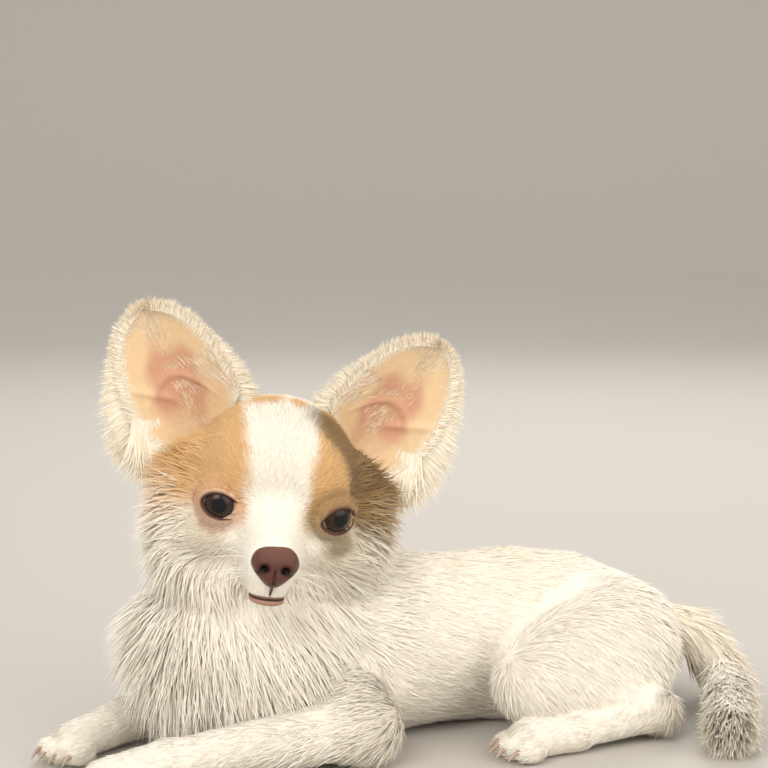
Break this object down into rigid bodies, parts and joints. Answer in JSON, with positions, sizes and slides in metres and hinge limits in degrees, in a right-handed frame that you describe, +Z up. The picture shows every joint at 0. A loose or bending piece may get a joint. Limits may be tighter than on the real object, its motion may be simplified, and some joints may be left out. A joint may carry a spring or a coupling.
{
  "type": "chihuahua, lying",
  "caption": "Long-haired chihuahua puppy lying on its belly with its forelegs stretched out and its head turned to its left.",
  "frame": {"origin": "middle of the bounding box at ground level", "axes": "+Z up, the body points along -Y, the dog's left side is +X"},
  "size_m": [0.1768, 0.3108, 0.1753],
  "materials": {
    "coat_white": "long soft white coat",
    "coat_tan": "short tan and white coat",
    "ear_skin": "thin pink-tan ear",
    "nose_skin": "wet liver-brown nose",
    "eye": "wet dark eye"
  },
  "bodies": {
    "root": {"chest": "coat_white", "loin": "coat_white", "rump": "coat_white", "foreleg_left": "coat_white", "forepaw_left": "coat_white", "thigh_left": "coat_white", "hindfoot_left": "coat_white", "foreleg_right": "coat_white", "forepaw_right": "coat_white", "thigh_right": "coat_white", "hindfoot_right": "coat_white", "tail_root": "coat_white", "tail_plume": "coat_white", "neck": "coat_white", "head": "coat_tan", "nose": "nose_skin", "eye_left": "eye", "ear_left": "ear_skin", "eye_right": "eye", "ear_right": "ear_skin"}
  },
  "joints": []
}
